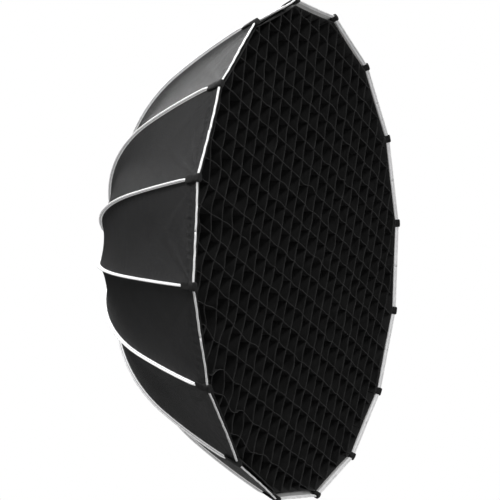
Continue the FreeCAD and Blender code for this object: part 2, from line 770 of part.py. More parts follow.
def make_front_set():
    front = MOUTH - dim("grid_set_back") - dim("grid_depth")
    node("grid_slats_a", slats("slats_a", front, dim("grid_tilt")))
    behind = front - dim("grid_depth") - dim("grid_layer_gap")
    node("grid_slats_b", slats("slats_b", behind, dim("grid_cross_tilt")))
    edge = RIB_LENGTH - dim("grid_set_back")
    face = dim("grid_band_offset")
    bands = [
        strip_between_ribs(
            edge - dim("grid_band_width"), edge, face, face - dim("grid_band_thickness"), 0.0, k * STEP
        )
        for k in range(COUNT)
    ]
    node("grid_band", feature("grid_edge", Part.makeCompound(bands)))

    back = MOUTH - dim("diffuser_set_back")
    radius, thickness = dim("diffuser_radius"), dim("sheet_thickness")
    node("front_diffuser", feature("front_cloth", polygon_plate(radius, 0, back, thickness)))
    tape = polygon_plate(radius, radius - dim("diffuser_band"), back - 1, 1)
    node("diffuser_tape", feature("front_tape", tape))

    level, radius = MOUTH - dim("inner_set_back"), dim("inner_radius")
    node("inner_diffuser", feature("inner_cloth", polygon_plate(radius, 0, level, thickness)))
    hem = polygon_plate(radius, radius - dim("inner_hem"), level - 1, 1)
    node("inner_diffuser_hem", feature("inner_hem", hem))
    strap = box(
        "strap", "dims.strap_width", "dims.sheet_thickness", "dims.strap_end - dims.inner_radius",
        VECTOR(-dim("strap_width") / 2, -level - thickness, radius),
    )
    node("inner_diffuser_straps", around("straps", strap, COUNT))


# Build, check and write


def make_linkage():
    rib, stretcher = make_rib(), make_stretcher()
    for k in range(COUNT):
        node("rib_%02d" % (k + 1), turned("rib_copy_%d" % k, rib, k * STEP))
        node("stretcher_%02d" % (k + 1), turned("stretcher_copy_%d" % k, stretcher, k * STEP))


make_light_mount()
make_speed_ring()
make_lock_knob()
make_linkage()
make_runner()
make_reflector()
make_rear_collar()
make_front_set()
doc.recompute()

failed = [item.Name for item in doc.Objects if "Invalid" in item.State or "Error" in item.State]
if failed:
    raise RuntimeError("objects that did not recompute: %s" % failed)
for item in nodes:
    if item.Shape.isNull() or not item.Shape.isValid() or not item.Shape.Solids:
        raise RuntimeError("%s has no valid shape" % item.Label)

os.makedirs("parts", exist_ok=True)
for item in nodes:
    item.Shape.exportStep("parts/%s.step" % item.Label)

print("nodes", len(nodes), "mouth forward %.2f" % MOUTH, "rib length %.2f" % RIB_LENGTH)
print("pivot %.3f %.3f" % (PIVOT_REACH, PIVOT_FORWARD), "stretcher %.3f" % STRETCHER_LENGTH)
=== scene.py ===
import math

import bmesh
import bpy
import numpy as np
from mathutils import Matrix, Vector


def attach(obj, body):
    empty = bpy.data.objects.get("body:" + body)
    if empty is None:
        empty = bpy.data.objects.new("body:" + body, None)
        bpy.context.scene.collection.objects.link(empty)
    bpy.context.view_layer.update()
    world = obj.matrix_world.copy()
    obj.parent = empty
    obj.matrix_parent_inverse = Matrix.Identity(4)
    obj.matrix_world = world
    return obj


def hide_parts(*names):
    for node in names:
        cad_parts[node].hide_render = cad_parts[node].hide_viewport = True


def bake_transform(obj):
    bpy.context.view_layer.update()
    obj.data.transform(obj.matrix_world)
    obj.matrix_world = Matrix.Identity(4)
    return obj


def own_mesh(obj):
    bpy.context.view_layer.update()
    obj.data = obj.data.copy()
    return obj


# The looks of the folding softbox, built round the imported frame. Metres, +Z up, mouth towards -Y.

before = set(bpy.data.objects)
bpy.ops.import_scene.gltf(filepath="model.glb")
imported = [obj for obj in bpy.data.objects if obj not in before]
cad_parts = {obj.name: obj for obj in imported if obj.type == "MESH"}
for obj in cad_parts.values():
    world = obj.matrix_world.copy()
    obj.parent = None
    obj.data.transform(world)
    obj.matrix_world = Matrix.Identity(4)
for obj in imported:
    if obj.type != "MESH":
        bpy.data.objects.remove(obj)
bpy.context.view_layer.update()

# ---------------------------------------------------------------- driving sizes, as in the CAD model

RIBS = 16
STEP = 360.0 / RIBS
HALF = STEP / 2
HINGE_CIRCLE = 0.075
HINGE_FORWARD = 0.032
HEADING = math.radians(11.3)
STRAIGHT = 0.030
BOWS = ((0.576, math.radians(45.7)), (2.010, math.radians(7.5)))
RIB_LENGTH = STRAIGHT + sum(radius * turn for radius, turn in BOWS)
CLOTH = 0.005  # outer face of the cloth, outward of a rib's axis
CLOTH_THICKNESS = 0.0011

SKIRT_START, SKIRT_END = 0.0155, 0.064  # gathered skirt round the hub, lengths along the rib
SKIRT_BEND_START, SKIRT_BEND_END = 0.018, 0.060  # two lengths along the rib between the hub and a rib; the skirt's points there are found but not used
SKIRT_ROWS = 17
ELASTIC_END = 0.041
BAND_STOPS = (SKIRT_END, 0.115, 0.180, 0.260, 0.355, 0.465, 0.600, RIB_LENGTH)
COLUMNS = 15  # across half a gore
ROW = 0.0075  # along a rib
SAG = 0.0095  # how far the cloth pulls in between two ribs
RIM_SAG = 0.0020
HEM_LINE = 0.024  # the reflector's front hem, back from the rim

MOUTH = 0.5162  # rim plane, forward of the origin
GRID_PITCH = 0.0500
GRID_DEPTH = 0.046
GRID_SET_BACK = 0.002


def rib_line(along, outward=0.0):
    """(radius, forward, heading) at lengths along a rib, moved outward from its axis."""
    along = np.asarray(along, float)
    step = np.minimum(along, STRAIGHT)
    heading = np.full(along.shape, HEADING)
    reach = HINGE_CIRCLE + step * math.cos(HEADING)
    forward = HINGE_FORWARD + step * math.sin(HEADING)
    left = along - step
    for index, (radius, turn) in enumerate(BOWS):
        limit = turn if index + 1 < len(BOWS) else 10.0
        part = np.minimum(left / radius, limit)
        reach = reach + radius * (np.sin(heading + part) - np.sin(heading))
        forward = forward + radius * (np.cos(heading) - np.cos(heading + part))
        heading = heading + part
        left = left - part * radius
    return reach + outward * np.sin(heading), forward - outward * np.cos(heading), heading


def place(reach, forward, degrees):
    """Points at a radius, a forward distance and an angle from the top, towards +X."""
    turn = np.radians(degrees)
    return np.stack(np.broadcast_arrays(reach * np.sin(turn), -forward, reach * np.cos(turn)), axis=-1)


def across(k):
    """Unit vector across rib k's plane."""
    turn = math.radians(k * STEP)
    return (math.cos(turn), 0.0, -math.sin(turn))


def hinge_point(k):
    return tuple(place(HINGE_CIRCLE, HINGE_FORWARD, k * STEP))


# ---------------------------------------------------------------- the reflector's surface


def smooth_step(x):
    x = np.clip(x, 0.0, 1.0)
    return x * x * (3 - 2 * x)


def sag_along(along):
    """Depth of the pull-in at mid gore, along the rib."""
    t = np.clip((along - ELASTIC_END) / (RIB_LENGTH - ELASTIC_END), 0.0, 1.0)
    return SAG * np.sin(math.pi * t**0.85) ** 0.8 + RIM_SAG * smooth_step((t - 0.6) / 0.4)


def creases(gore, share, along):
    """Small folds: puckers beside the seams, tension lines from the corners, slack in the middle."""
    phase = gore * 2.399
    reach, _, _ = rib_line(along)
    width = 2 * reach * math.tan(math.radians(HALF))
    beside = np.minimum(share, 1 - share) * width
    pucker = 0.00045 * np.sin(along * 2 * math.pi / 0.021 + phase * 3 + 2.0 * np.sin(along * 31 + phase))
    pucker = pucker * np.exp(-beside / 0.016) * (1 - np.exp(-beside / 0.003))
    down = RIB_LENGTH - along
    lines = np.zeros(np.broadcast(share, along).shape)
    for side, lean in ((0, 1.0), (1, -1.0)):
        run = share * width if side == 0 else (1 - share) * width
        away = np.hypot(run, down) + 1e-6
        bearing = np.arctan2(run, down + 1e-6)
        ridges = np.sin(bearing * 15 + phase * lean) + 0.5 * np.sin(bearing * 27 + phase * 2)
        lines = lines + 0.0009 * ridges * np.exp(-away / 0.10) * (1 - np.exp(-away / 0.02))
    slack = np.sin(along * 13 + phase) * np.sin(share * 7 + phase * 1.7) * 0.0011
    slack = slack + np.sin(along * 29 - share * 5 + phase) * 0.0005
    run = share * width * 2 * math.pi
    rim = 0.0004 * np.sin(run / 0.034 + phase) * np.exp(-down / 0.022)
    hem = -0.0009 * np.exp(-(((down - HEM_LINE) / 0.0028) ** 2)) * (1 + 0.5 * np.sin(run / 0.019 + phase))
    rim = rim + hem + 0.0005 * np.sin(run / 0.013 + phase) * np.exp(-(((down - HEM_LINE) / 0.011) ** 2))
    open_cloth = (4 * share * (1 - share)) ** 0.7
    return pucker + (lines + slack + rim) * open_cloth


def gore_surface(k, degrees, along, lift=0.0):
    """Points of the reflector at signed angles from rib k and lengths along it."""
    degrees, along = np.broadcast_arrays(np.asarray(degrees, float), np.asarray(along, float))
    share = np.where(degrees >= 0, degrees / STEP, 1 + degrees / STEP)
    gore = np.where(degrees >= 0, k, (k - 1) % RIBS)
    belly = 4 * share * (1 - share)
    fade = smooth_step((along - ELASTIC_END) / 0.05)
    gathered = 1 - smooth_step((along - SKIRT_START) / 0.075)
    gathers = 0.0010 * gathered * (1 - np.cos(share * 2 * math.pi * 5)) / 2
    outward = CLOTH + lift - sag_along(along) * belly + creases(gore, share, along) * fade + gathers
    reach, forward, _ = rib_line(along, outward)
    chord = math.cos(math.radians(HALF)) / np.cos(np.radians(HALF - np.abs(degrees)))
    return place(reach * chord, forward, k * STEP + degrees)


def gore_normals(k, degrees, along):
    """Unit normals of the reflector, pointing out of it."""
    step_angle, step_along = 0.02, 0.0004
    right = gore_surface(k, degrees + step_angle, along)
    left = gore_surface(k, degrees - step_angle, along)
    fore = gore_surface(k, degrees, along + step_along)
    aft = gore_surface(k, degrees, along - step_along)
    normal = np.cross(fore - aft, right - left)
    normal /= np.linalg.norm(normal, axis=-1, keepdims=True)
    return normal


def gore_angles():
    half = HALF * np.linspace(0, 1, COLUMNS + 1)
    return np.concatenate([-half[:0:-1], half])


# ---------------------------------------------------------------- meshes


def make_object(name, points, faces, materials, slots=None, smooth=True, normals=None):
    mesh = bpy.data.meshes.new(name)
    mesh.from_pydata([tuple(p) for p in np.asarray(points, float)], [], [tuple(map(int, f)) for f in faces])
    for material in materials:
        mesh.materials.append(material)
    if slots is not None:
        mesh.polygons.foreach_set("material_index", np.asarray(slots, np.int32))
    mesh.polygons.foreach_set("use_smooth", np.full(len(mesh.polygons), smooth))
    mesh.update()
    mesh.validate()
    if normals is not None:
        mesh.normals_split_custom_set_from_vertices([tuple(n) for n in normals])
    item = bpy.data.objects.new(name, mesh)
    bpy.context.scene.collection.objects.link(item)
    return item


def grid_faces(rows, columns, offset=0, flip=False):
    r, c = np.meshgrid(np.arange(rows - 1), np.arange(columns - 1), indexing="ij")
    a = (offset + r * columns + c).ravel()
    quads = np.stack([a, a + 1, a + columns + 1, a + columns], axis=1)
    return quads[:, ::-1] if flip else quads


def edge_faces(rows, columns, shift):
    """Faces that join the four edges of a grid to those of its copy, shift vertices later."""
    top = np.arange(columns)
    bottom = (rows - 1) * columns + np.arange(columns)
    left = np.arange(rows) * columns
    right = left + columns - 1
    loop = np.concatenate([top, right[1:], bottom[::-1][1:], left[::-1][1:-1]])
    following = np.roll(loop, -1)
    return np.stack([following, loop, loop + shift, following + shift], axis=1)


def shell(name, outer, normals, thickness, materials):
    """A closed thin shell from a grid of points: outer face, inner face and edges.

    The first material goes on the outer face and the edges, the second, if there is one, inside.
    """
    rows, columns = outer.shape[:2]
    inner = outer - normals * thickness
    points = np.concatenate([outer.reshape(-1, 3), inner.reshape(-1, 3)])
    both = np.concatenate([normals.reshape(-1, 3), -normals.reshape(-1, 3)])
    count = rows * columns
    front = grid_faces(rows, columns, flip=True)
    back = grid_faces(rows, columns, count)
    edges = edge_faces(rows, columns, count)[:, ::-1]
    faces = np.concatenate([front, back, edges])
    slots = [0] * len(front) + [min(1, len(materials) - 1)] * len(back) + [0] * len(edges)
    return make_object(name, points, faces, materials, slots, True, both)


def loft(name, rings, materials, slots=None, looped=False):
    """A closed tube through rings of points. slots gives a material per side of the ring."""
    rings = np.asarray(rings, float)
    count, sides = rings.shape[:2]
    faces, indices = [], []
    for i in range(count if looped else count - 1):
        j = (i + 1) % count
        for a in range(sides):
            b = (a + 1) % sides
            faces.append((i * sides + a, i * sides + b, j * sides + b, j * sides + a))
            indices.append(slots[a] if slots else 0)
    if not looped:
        faces.append(tuple(range(sides))[::-1])
        faces.append(tuple((count - 1) * sides + a for a in range(sides)))
        indices += [slots[0] if slots else 0] * 2
    return make_object(name, rings.reshape(-1, 3), faces, materials, indices)


def face_outward(item):
    """Makes the faces of a closed mesh point out of it."""
    work = bmesh.new()
    work.from_mesh(item.data)
    bmesh.ops.recalc_face_normals(work, faces=work.faces)
    work.to_mesh(item.data)
    work.free()
    return item


# ---------------------------------------------------------------- materials


def new_material(name, colour, roughness, specular=0.5, metallic=0.0):
    material = bpy.data.materials.new(name)
    material.use_nodes = True
    shader = material.node_tree.nodes["Principled BSDF"]
    shader.inputs["Base Color"].default_value = (*colour, 1)
    shader.inputs["Roughness"].default_value = roughness
    shader.inputs["Specular IOR Level"].default_value = specular
    shader.inputs["Metallic"].default_value = metallic
    return material, shader


def node(material, kind, **inputs):
    item = material.node_tree.nodes.new(kind)
    for key, value in inputs.items():
        item.inputs[key.replace("_", " ")].default_value = value
    return item


def link(material, source, output, target, socket):
    material.node_tree.links.new(source.outputs[output], target.inputs[socket])


def coordinates(material):
    return node(material, "ShaderNodeTexCoord")


def noise(material, scale, detail=3.0, roughness=0.55):
    item = node(material, "ShaderNodeTexNoise", Scale=scale, Detail=detail, Roughness=roughness)
    link(material, coordinates(material), "Object", item, "Vector")
    return item


def waves(material, scale, direction, distortion=0.0):
    item = node(material, "ShaderNodeTexWave", Scale=scale, Distortion=distortion)
    item.wave_type = "BANDS"
    item.bands_direction = direction
    link(material, coordinates(material), "Object", item, "Vector")
    return item


def mix_colours(material, shader, source, dark, light, low=0.35, high=0.65):
    """Base colour between two tones, by a texture."""
    ramp = material.node_tree.nodes.new("ShaderNodeValToRGB")
    ramp.color_ramp.elements[0].position = low
    ramp.color_ramp.elements[1].position = high
    ramp.color_ramp.elements[0].color = (*dark, 1)
    ramp.color_ramp.elements[1].color = (*light, 1)
    link(material, source, "Fac", ramp, "Fac")
    link(material, ramp, "Color", shader, "Base Color")


def vary_roughness(material, shader, source, low, high):
    item = material.node_tree.nodes.new("ShaderNodeMapRange")
    item.inputs["To Min"].default_value = low
    item.inputs["To Max"].default_value = high
    link(material, source, "Fac", item, "Value")
    link(material, item, "Result", shader, "Roughness")


def bump(material, shader, height_sources, distance):
    """Adds up height textures, each with its weight, into one bump."""
    total = None
    for source, output, weight in height_sources:
        scaled = material.node_tree.nodes.new("ShaderNodeMath")
        scaled.operation = "MULTIPLY"
        scaled.inputs[1].default_value = weight
        link(material, source, output, scaled, 0)
        if total is None:
            total = scaled
            continue
        added = material.node_tree.nodes.new("ShaderNodeMath")
        added.operation = "ADD"
        link(material, total, "Value", added, 0)
        link(material, scaled, "Value", added, 1)
        total = added
    item = node(material, "ShaderNodeBump", Strength=1.0, Distance=distance)
    link(material, total, "Value", item, "Height")
    link(material, item, "Normal", shader, "Normal")


def painted_glow(shader, strength):
    """Painted light: an emission glow that lifts the trim above plain cloth, standing in for the light it
    would catch in the studio.
    """
    shader.inputs["Emission Color"].default_value = (1, 1, 1, 1)
    shader.inputs["Emission Strength"].default_value = strength


def weave(material, pitch):
    """Bands along the three axes, weighed as one height, so that every face has crossing threads."""
    scale = 1.0 / pitch / 2
    first, second = waves(material, scale, "X"), waves(material, scale, "Z")
    third = waves(material, scale, "Y")
    return [(first, "Fac", 0.4), (second, "Fac", 0.4), (third, "Fac", 0.4)]


def satin_black():
    material, shader = new_material("satin_black", (0.02, 0.02, 0.021), 0.55, 0.30)
    broad = noise(material, 5.0, 4.0)
    mix_colours(material, shader, broad, (0.012, 0.012, 0.0125), (0.017, 0.017, 0.0175), 0.3, 0.7)
    vary_roughness(material, shader, noise(material, 38.0, 5.0), 0.50, 0.62)
    shader.inputs["Sheen Weight"].default_value = 0.01
    fine = noise(material, 900.0, 2.0)
    ripple = noise(material, 45.0, 4.0, 0.6)
    bump(material, shader, weave(material, 0.0009) + [(fine, "Fac", 0.5), (ripple, "Fac", 2.5)], 0.00035)
    return material


def lining_white():
    material, shader = new_material("lining_white", (0.80, 0.80, 0.79), 0.6, 0.4)
    mix_colours(material, shader, noise(material, 9.0), (0.74, 0.74, 0.73), (0.84, 0.84, 0.83))
    shader.inputs["Sheen Weight"].default_value = 0.2
    bump(material, shader, weave(material, 0.0010) + [(noise(material, 60.0), "Fac", 1.5)], 0.0003)
    return material


def piping_light():
    material, shader = new_material("piping_light", (0.75, 0.75, 0.75), 0.5)
    mix_colours(material, shader, noise(material, 160.0), (0.78, 0.78, 0.78), (0.93, 0.93, 0.93))
    # painted light: emission glow on the light piping
    painted_glow(shader, 0.22)
    bump(material, shader, weave(material, 0.0014) + [(noise(material, 500.0), "Fac", 0.6)], 0.0003)
    return material


def piping_grey():
    material, shader = new_material("piping_grey", (0.36, 0.36, 0.37), 0.45, 0.6)
    mix_colours(material, shader, noise(material, 220.0), (0.26, 0.26, 0.27), (0.46, 0.46, 0.47))
    # painted light: emission glow on the grey piping
    painted_glow(shader, 0.08)
    bump(material, shader, weave(material, 0.0012) + [(noise(material, 600.0), "Fac", 0.6)], 0.0002)
    return material


def binding_white():
    material, shader = new_material("binding_white", (0.86, 0.86, 0.86), 0.55)
    mix_colours(material, shader, noise(material, 90.0), (0.78, 0.78, 0.78), (0.92, 0.92, 0.92))
    stitches = waves(material, 180.0, "DIAGONAL", 0.4)
    bump(material, shader, weave(material, 0.0013) + [(stitches, "Fac", 1.0)], 0.0003)
    return material


def binding_grey():
    material, shader = new_material("binding_grey", (0.52, 0.52, 0.53), 0.5)
    mix_colours(material, shader, noise(material, 120.0), (0.74, 0.74, 0.75), (0.88, 0.88, 0.89))
    # painted light: emission glow on the binding's inner faces, which get little lamp light
    painted_glow(shader, 0.22)
    bump(material, shader, weave(material, 0.0013), 0.0003)
    return material


def webbing_black():
    material, shader = new_material("webbing_black", (0.02, 0.02, 0.02), 0.7, 0.2)
    mix_colours(material, shader, noise(material, 140.0), (0.006, 0.006, 0.006), (0.018, 0.018, 0.018))
    shader.inputs["Sheen Weight"].default_value = 0.02
    bump(material, shader, weave(material, 0.0018) + [(noise(material, 300.0), "Fac", 1.0)], 0.0006)
    return material


def elastic_black():
    material, shader = new_material("elastic_black", (0.02, 0.02, 0.02), 0.7)
    mix_colours(material, shader, noise(material, 200.0), (0.012, 0.012, 0.012), (0.035, 0.035, 0.036))
    shader.inputs["Sheen Weight"].default_value = 0.35
    cords = waves(material, 190.0, "Y", 0.2)
    bump(material, shader, [(cords, "Fac", 2.0), (noise(material, 700.0), "Fac", 0.8)], 0.0005)
    return material


def grid_black():
    material, shader = new_material("grid_black", (0.012, 0.012, 0.012), 0.85, 0.2)
    mix_colours(material, shader, noise(material, 24.0, 4.0), (0.009, 0.009, 0.009), (0.016, 0.016, 0.016))
    shader.inputs["Sheen Weight"].default_value = 0.03
    bump(material, shader, weave(material, 0.0011) + [(noise(material, 70.0), "Fac", 1.6)], 0.0004)
    return material


def grid_hem():
    material, shader = new_material("grid_hem", (0.03, 0.03, 0.03), 0.8, 0.2)
    mix_colours(material, shader, noise(material, 60.0, 3.0), (0.013, 0.013, 0.013), (0.024, 0.024, 0.024))
    shader.inputs["Sheen Weight"].default_value = 0.08
    bump(material, shader, weave(material, 0.0012) + [(noise(material, 200.0), "Fac", 1.0)], 0.0004)
    return material


def diffuser_white():
    material, shader = new_material("diffuser_white", (0.90, 0.90, 0.89), 0.6, 0.3)
    mix_colours(material, shader, noise(material, 7.0), (0.86, 0.86, 0.85), (0.93, 0.93, 0.92))
    shader.inputs["Transmission Weight"].default_value = 0.12
    bump(material, shader, weave(material, 0.0009) + [(noise(material, 25.0), "Fac", 2.0)], 0.0004)
    return material


def tape_black():
    material, shader = new_material("tape_black", (0.018, 0.018, 0.018), 0.85, 0.2)
    shader.inputs["Sheen Weight"].default_value = 0.5
    mix_colours(material, shader, noise(material, 500.0), (0.010, 0.010, 0.010), (0.034, 0.034, 0.034))
    bump(material, shader, [(noise(material, 1100.0, 2.0), "Fac", 2.0)], 0.0008)
    return material


def powder_coat():
    material, shader = new_material("powder_coat", (0.028, 0.028, 0.030), 0.55)
    mix_colours(material, shader, noise(material, 25.0), (0.024, 0.024, 0.026), (0.036, 0.036, 0.038))
    vary_roughness(material, shader, noise(material, 90.0), 0.48, 0.64)
    grains = [(noise(material, 1400.0, 2.0), "Fac", 1.0), (noise(material, 300.0), "Fac", 0.6)]
    bump(material, shader, grains, 0.0003)
    return material


def brushed_metal():
    material, shader = new_material("brushed_metal", (0.60, 0.60, 0.61), 0.32, 0.5, 1.0)
    mix_colours(material, shader, noise(material, 60.0), (0.50, 0.50, 0.51), (0.66, 0.66, 0.67))
    streaks = waves(material, 420.0, "Y", 6.0)
    vary_roughness(material, shader, noise(material, 200.0), 0.26, 0.42)
    bump(material, shader, [(streaks, "Fac", 0.5), (noise(material, 800.0), "Fac", 0.3)], 0.00008)
    return material


def dark_metal():
    material, shader = new_material("dark_metal", (0.09, 0.09, 0.10), 0.35, 0.5, 1.0)
    mix_colours(material, shader, noise(material, 150.0), (0.07, 0.07, 0.075), (0.13, 0.13, 0.14))
    vary_roughness(material, shader, noise(material, 300.0), 0.28, 0.5)
    bump(material, shader, [(noise(material, 900.0), "Fac", 0.5)], 0.0001)
    return material


def glass_fibre():
    material, shader = new_material("glass_fibre", (0.03, 0.03, 0.03), 0.35)
    mix_colours(material, shader, noise(material, 80.0), (0.022, 0.022, 0.022), (0.042, 0.042, 0.042))
    fibres = waves(material, 900.0, "DIAGONAL", 2.0)
    bump(material, shader, [(fibres, "Fac", 0.6), (noise(material, 400.0), "Fac", 0.5)], 0.00012)
    return material


def anodised():
    material, shader = new_material("anodised", (0.16, 0.16, 0.17), 0.4, 0.5, 0.9)
    mix_colours(material, shader, noise(material, 70.0), (0.13, 0.13, 0.14), (0.20, 0.20, 0.21))
    vary_roughness(material, shader, noise(material, 250.0), 0.34, 0.48)
    bump(material, shader, [(noise(material, 1200.0), "Fac", 0.6)], 0.00008)
    return material


def moulded(name, dark, light):
    material, shader = new_material(name, dark, 0.5)
    mix_colours(material, shader, noise(material, 40.0), dark, light)
    vary_roughness(material, shader, noise(material, 180.0), 0.42, 0.58)
    bump(material, shader, [(noise(material, 1600.0, 2.0), "Fac", 1.0)], 0.00015)
    return material


def soft_rubber():
    material, shader = new_material("soft_rubber", (0.03, 0.03, 0.03), 0.8, 0.3)
    mix_colours(material, shader, noise(material, 60.0), (0.024, 0.024, 0.024), (0.042, 0.042, 0.042))
    bump(material, shader, [(noise(material, 700.0), "Fac", 1.0)], 0.0002)
    return material


SATIN = satin_black()
LINING = lining_white()
PIPE_LIGHT = piping_light()
PIPE_GREY = piping_grey()
RIM_WHITE = binding_white()
RIM_GREY = binding_grey()
WEBBING = webbing_black()
ELASTIC = elastic_black()
GRID = grid_black()
HEM = grid_hem()
DIFFUSER = diffuser_white()
TAPE = tape_black()

CAD_FINISHES = {
    "bayonet_insert": brushed_metal(),
    "bearing_ring": moulded("nylon_natural", (0.70, 0.69, 0.65), (0.80, 0.79, 0.75)),
    "speed_ring": powder_coat(),
    "retaining_screws": dark_metal(),
    "rib": glass_fibre(),
    "stretcher": anodised(),
    "knob": moulded("plastic_black", (0.026, 0.026, 0.026), (0.040, 0.040, 0.040)),
    "pull_handles": moulded("plastic_orange", (0.62, 0.10, 0.02), (0.74, 0.14, 0.03)),
    "hub_bumper": soft_rubber(),
}
SAME_FINISH = {
    "hinge_pins": "bayonet_insert",
    "runner_pins": "bayonet_insert",
    "lock_screw": "bayonet_insert",
    "retaining_ring": "speed_ring",
    "runner_ring": "speed_ring",
    "cover_screws": "retaining_screws",
    "lock_knob": "knob",
    "runner_cover": "knob",
}


def finish_cad_nodes():
    for name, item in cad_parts.items():
        key = SAME_FINISH.get(name, name.split("_")[0] if name.startswith(("rib_", "stretcher_")) else name)
        if key not in CAD_FINISHES:
            continue
        if not item.data.materials:
            item.data.materials.append(None)
        for slot in item.material_slots:
            slot.material = CAD_FINISHES[key]


# ---------------------------------------------------------------- reflector, skirt and trim


def along_rows(start, end):
    return np.linspace(start, end, max(3, int(round((end - start) / ROW)) + 1))


def make_panels(k):
    """Rib k's share of the reflector, in bands along the rib, each hung on the rib's body."""
    degrees = gore_angles()[None, :]
    for index, (start, end) in enumerate(zip(BAND_STOPS, BAND_STOPS[1:])):
        along = along_rows(start, end)[:, None]
        rows = gore_surface(k, degrees, along)
        item = shell(
            "reflector_%02d_%d" % (k + 1, index + 1), rows, gore_normals(k, degrees, along),
            CLOTH_THICKNESS, [SATIN, LINING],
        )
        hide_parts("reflector")
        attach(item, "rib_%02d" % (k + 1))
        hinge_point(k)
        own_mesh(item)


def make_skirt(k):
    """The gathered stretch edge round the hub."""
    degrees = gore_angles()[None, :]
    along = np.linspace(SKIRT_START, SKIRT_END, SKIRT_ROWS)[:, None]
    rows = gore_surface(k, degrees, along)
    normals = gore_normals(k, degrees, along)
    materials = [SATIN, LINING, ELASTIC]
    item = shell("skirt_%02d" % (k + 1), rows, normals, CLOTH_THICKNESS, materials)
    elastic_rows = int(np.searchsorted(along[:, 0], ELASTIC_END))
    for face in range(elastic_rows * (rows.shape[1] - 1)):
        item.data.polygons[face].material_index = materials.index(ELASTIC)
    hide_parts("rear_collar", "reflector")
    near, far = (place(*rib_line(at)[:2], k * STEP) for at in (SKIRT_BEND_START, SKIRT_BEND_END))
    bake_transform(item)


PIPING_SECTION = (  # (across the seam, outward of the cloth), mm: a standing welt with a stitched groove
    (-3.0, -1.3), (-2.7, 2.3), (-1.9, 3.0), (-2.4, 3.6), (-2.2, 5.2), (-1.4, 6.3), (0.0, 6.7),
    (1.4, 6.3), (2.2, 5.2), (2.4, 3.6), (1.9, 3.0), (2.7, 2.3), (3.0, -1.3),
)
PIPING_SLOTS = (0, 1, 1, 0, 0, 0, 0, 0, 0, 1, 1, 0, 2)
PIPING_ENDS = (  # (length along the rib, share of the full height)
    (SKIRT_END - 0.012, 0.35), (SKIRT_END + 0.050, 1.0), (RIB_LENGTH - 0.055, 1.0), (RIB_LENGTH - 0.040, 0.7),
)


def make_piping(k):
    """The light welt along a seam, lower towards both of its ends."""
    stops, heights = zip(*PIPING_ENDS)
    rings = []
    for s in along_rows(stops[0], stops[-1]):
        height = float(np.interp(s, stops, heights))
        ring = []
        for side, lift in PIPING_SECTION:
            reach, forward, _ = rib_line(s, CLOTH + lift * (height if lift > 0 else 1.0) / 1000)
            point = place(float(reach), float(forward), k * STEP)
            ring.append(point + np.array(across(k)) * side / 1000)
        rings.append(ring)
    item = loft("piping_%02d" % (k + 1), rings, [PIPE_LIGHT, PIPE_GREY, WEBBING], PIPING_SLOTS)
    face_outward(item)
    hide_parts("seam_piping")
    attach(item, "rib_%02d" % (k + 1))


BINDING_SECTION = (  # (along the rib from the rim, outward of the cloth), mm
    (-3.6, 0.1), (-3.2, 0.9), (-1.6, 1.1), (0.5, 0.9), (1.6, 0.1), (1.8, -0.9), (1.4, -1.9),
    (0.2, -2.6), (-2.6, -2.7), (-3.6, -2.5), (-6.6, -2.5), (-7.4, -1.4),
)
BINDING_SLOTS = (0, 0, 0, 0, 0, 0, 0, 0, 1, 1, 1, 0)


def make_binding(k):
    rings = []
    for degree in gore_angles():
        ring = [
            gore_surface(k, degree, RIB_LENGTH + step / 1000, lift / 1000) for step, lift in BINDING_SECTION
        ]
        rings.append(ring)
    item = loft("rim_binding_%02d" % (k + 1), rings, [RIM_WHITE, RIM_GREY], BINDING_SLOTS)
    face_outward(item)
    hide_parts("rim_binding", "fastening_tape")
    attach(item, "rib_%02d" % (k + 1))
    hinge_point(k)
    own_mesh(item)


def oval(width, low, high, power=2.6, count=20):
    """A rounded section: (across, outward) points."""
    turn = np.linspace(0, 2 * math.pi, count, endpoint=False)
    c, s = np.cos(turn), np.sin(turn)
    x = np.sign(c) * np.abs(c) ** (2 / power) * width / 2
    y = np.sign(s) * np.abs(s) ** (2 / power) * (high - low) / 2 + (high + low) / 2
    return np.stack([x, y], axis=1)


POCKET_STATIONS = (  # (along from the rim, width, lowest, highest outward of the cloth), mm
    (-42.0, 9.0, -0.6, 1.6), (-41.2, 14.0, -0.9, 2.6), (-39.0, 17.0, -1.1, 3.2), (-34.0, 18.6, -1.2, 3.5),
    (-25.0, 19.4, -1.2, 3.7), (-15.0, 20.0, -1.2, 3.9), (-13.2, 20.2, -1.4, 3.9), (-12.6, 20.2, -9.6, 3.9),
    (-11.6, 20.6, -10.6, 4.1), (-6.0, 20.8, -11.0, 4.3), (-2.6, 21.0, -11.0, 4.4), (-1.6, 20.2, -10.6, 4.0),
    (-0.8, 21.0, -11.0, 4.4), (2.6, 20.8, -10.8, 4.3), (4.2, 19.2, -9.8, 3.5), (5.0, 15.0, -7.6, 1.8),
)


def make_pocket(k):
    rings = []
    for step, width, low, high in POCKET_STATIONS:
        ring = []
        for side, lift in oval(width, low, high):
            reach, forward, _ = rib_line(RIB_LENGTH + step / 1000, CLOTH + lift / 1000)
            point = place(float(reach), float(forward), k * STEP)
            ring.append(point + np.array(across(k)) * side / 1000)
        rings.append(ring)
    item = loft("corner_pocket_%02d" % (k + 1), rings, [WEBBING])
    face_outward(item)
    smooth = item.modifiers.new("round", "SUBSURF")
    smooth.levels = smooth.render_levels = 1
    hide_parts("corner_pockets")
    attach(item, "rib_%02d" % (k + 1))


# ---------------------------------------------------------------- the egg-crate grid

GRID_FRONT_RADIUS = 0.5905
GRID_BACK_RADIUS = 0.5680
GRID_TILT = -28.5
GRID_CROSS_TILT = 60.0


def polygon_reach(degrees, corner, bow=0.0):
    """Radius of the mouth's polygon, with its sides bowed in, at an angle from the top."""
    local = np.abs((np.asarray(degrees) + HALF) % STEP - HALF)
    reach = corner * math.cos(math.radians(HALF)) / np.cos(np.radians(HALF - local))
    return reach - bow * (1 - ((HALF - local) / HALF) ** 2)


